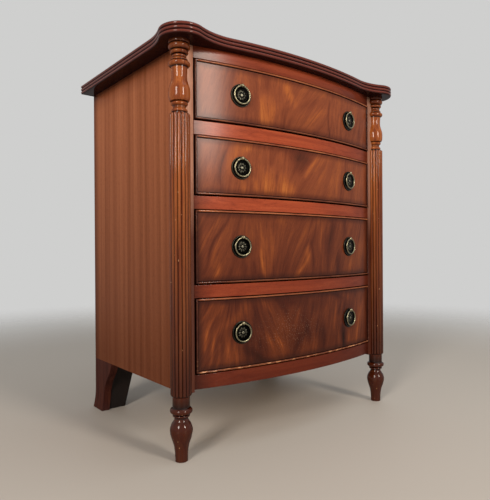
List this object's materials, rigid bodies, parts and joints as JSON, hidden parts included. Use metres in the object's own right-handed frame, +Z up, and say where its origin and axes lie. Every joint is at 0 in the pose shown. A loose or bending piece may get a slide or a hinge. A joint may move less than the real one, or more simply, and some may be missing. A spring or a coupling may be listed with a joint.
{
  "type": "bow front chest of drawers",
  "caption": "Small mahogany chest with bowed drawers, reeded three-quarter columns on turned feet, a turreted reeded top and ring pulls.",
  "frame": {"origin": "middle of the footprint's bounding box, on the floor", "axes": "+Z up, -Y towards the front (the drawers), +X to the right as seen from the front"},
  "size_m": [0.6408, 0.456, 0.7734],
  "materials": {
    "top_mahogany": "polished dark red mahogany",
    "side_veneer": "polished ribbon-striped mahogany veneer",
    "rail_mahogany": "polished red mahogany",
    "turned_mahogany": "glossy turned mahogany, darker in the grooves",
    "foot_mahogany": "dark polished mahogany",
    "dark_stained_wood": "unpolished dark stain",
    "crotch_veneer": "polished flame-figured mahogany veneer",
    "bead_mahogany": "dark polished mahogany with rubbed edges",
    "drawer_lining": "pale sealed hardwood",
    "drawer_ply": "thin pale plywood",
    "inner_hardwood": "plain unpolished hardwood",
    "back_ply": "brown stained plywood",
    "antique_brass": "darkened antique brass, rubbed bright on the ring",
    "steel_screws": "dull steel"
  },
  "bodies": {
    "carcase": {"top_board": "top_mahogany", "side_panel_left": "side_veneer", "side_panel_right": "side_veneer", "back_panel": "back_ply", "back_panel_screws": "steel_screws", "front_posts": "rail_mahogany", "column_left": "turned_mahogany", "column_right": "turned_mahogany", "top_rail": "rail_mahogany", "divider_rail_1": "rail_mahogany", "divider_rail_2": "rail_mahogany", "divider_rail_3": "rail_mahogany", "bottom_rail": "rail_mahogany", "rear_rails": "inner_hardwood", "drawer_runners": "inner_hardwood", "top_kickers": "inner_hardwood", "rear_foot_side_left": "foot_mahogany", "rear_foot_side_right": "foot_mahogany", "rear_foot_returns": "dark_stained_wood", "rear_foot_blocks": "inner_hardwood"},
    "drawer_1": {"drawer_1_front": "crotch_veneer", "drawer_1_cock_bead": "bead_mahogany", "drawer_1_side_left": "drawer_lining", "drawer_1_side_right": "drawer_lining", "drawer_1_back": "drawer_lining", "drawer_1_bottom": "drawer_ply", "drawer_1_pull_plates": "antique_brass", "drawer_1_pull_posts": "antique_brass"},
    "ring_1_left": {"drawer_1_ring_left": "antique_brass"},
    "ring_1_right": {"drawer_1_ring_right": "antique_brass"},
    "drawer_2": {"drawer_2_front": "crotch_veneer", "drawer_2_cock_bead": "bead_mahogany", "drawer_2_side_left": "drawer_lining", "drawer_2_side_right": "drawer_lining", "drawer_2_back": "drawer_lining", "drawer_2_bottom": "drawer_ply", "drawer_2_pull_plates": "antique_brass", "drawer_2_pull_posts": "antique_brass"},
    "ring_2_left": {"drawer_2_ring_left": "antique_brass"},
    "ring_2_right": {"drawer_2_ring_right": "antique_brass"},
    "drawer_3": {"drawer_3_front": "crotch_veneer", "drawer_3_cock_bead": "bead_mahogany", "drawer_3_side_left": "drawer_lining", "drawer_3_side_right": "drawer_lining", "drawer_3_back": "drawer_lining", "drawer_3_bottom": "drawer_ply", "drawer_3_pull_plates": "antique_brass", "drawer_3_pull_posts": "antique_brass"},
    "ring_3_left": {"drawer_3_ring_left": "antique_brass"},
    "ring_3_right": {"drawer_3_ring_right": "antique_brass"},
    "drawer_4": {"drawer_4_front": "crotch_veneer", "drawer_4_cock_bead": "bead_mahogany", "drawer_4_side_left": "drawer_lining", "drawer_4_side_right": "drawer_lining", "drawer_4_back": "drawer_lining", "drawer_4_bottom": "drawer_ply", "drawer_4_pull_plates": "antique_brass", "drawer_4_pull_posts": "antique_brass"},
    "ring_4_left": {"drawer_4_ring_left": "antique_brass"},
    "ring_4_right": {"drawer_4_ring_right": "antique_brass"}
  },
  "joints": [
    {"name": "drawer_1_slide", "type": "slide", "parent": "carcase", "child": "drawer_1", "axis": [0, -1, 0], "range_m": [0, 0.3]},
    {"name": "ring_1_left_swing", "type": "hinge", "parent": "drawer_1", "child": "ring_1_left", "pos_m": [-0.15853, -0.20529, 0.69185], "axis": [-0.9897, 0.1433, 0], "range_deg": [-4, 170]},
    {"name": "ring_1_right_swing", "type": "hinge", "parent": "drawer_1", "child": "ring_1_right", "pos_m": [0.15853, -0.20529, 0.69185], "axis": [-0.9897, -0.1433, 0], "range_deg": [-4, 170]},
    {"name": "drawer_2_slide", "type": "slide", "parent": "carcase", "child": "drawer_2", "axis": [0, -1, 0], "range_m": [0, 0.3]},
    {"name": "ring_2_left_swing", "type": "hinge", "parent": "drawer_2", "child": "ring_2_left", "pos_m": [-0.15853, -0.20529, 0.5529], "axis": [-0.9897, 0.1433, 0], "range_deg": [-4, 170]},
    {"name": "ring_2_right_swing", "type": "hinge", "parent": "drawer_2", "child": "ring_2_right", "pos_m": [0.15853, -0.20529, 0.5529], "axis": [-0.9897, -0.1433, 0], "range_deg": [-4, 170]},
    {"name": "drawer_3_slide", "type": "slide", "parent": "carcase", "child": "drawer_3", "axis": [0, -1, 0], "range_m": [0, 0.3]},
    {"name": "ring_3_left_swing", "type": "hinge", "parent": "drawer_3", "child": "ring_3_left", "pos_m": [-0.15853, -0.20529, 0.4021], "axis": [-0.9897, 0.1433, 0], "range_deg": [-4, 170]},
    {"name": "ring_3_right_swing", "type": "hinge", "parent": "drawer_3", "child": "ring_3_right", "pos_m": [0.15853, -0.20529, 0.4021], "axis": [-0.9897, -0.1433, 0], "range_deg": [-4, 170]},
    {"name": "drawer_4_slide", "type": "slide", "parent": "carcase", "child": "drawer_4", "axis": [0, -1, 0], "range_m": [0, 0.3]},
    {"name": "ring_4_left_swing", "type": "hinge", "parent": "drawer_4", "child": "ring_4_left", "pos_m": [-0.15853, -0.20529, 0.23755], "axis": [-0.9897, 0.1433, 0], "range_deg": [-4, 170]},
    {"name": "ring_4_right_swing", "type": "hinge", "parent": "drawer_4", "child": "ring_4_right", "pos_m": [0.15853, -0.20529, 0.23755], "axis": [-0.9897, -0.1433, 0], "range_deg": [-4, 170]}
  ]
}
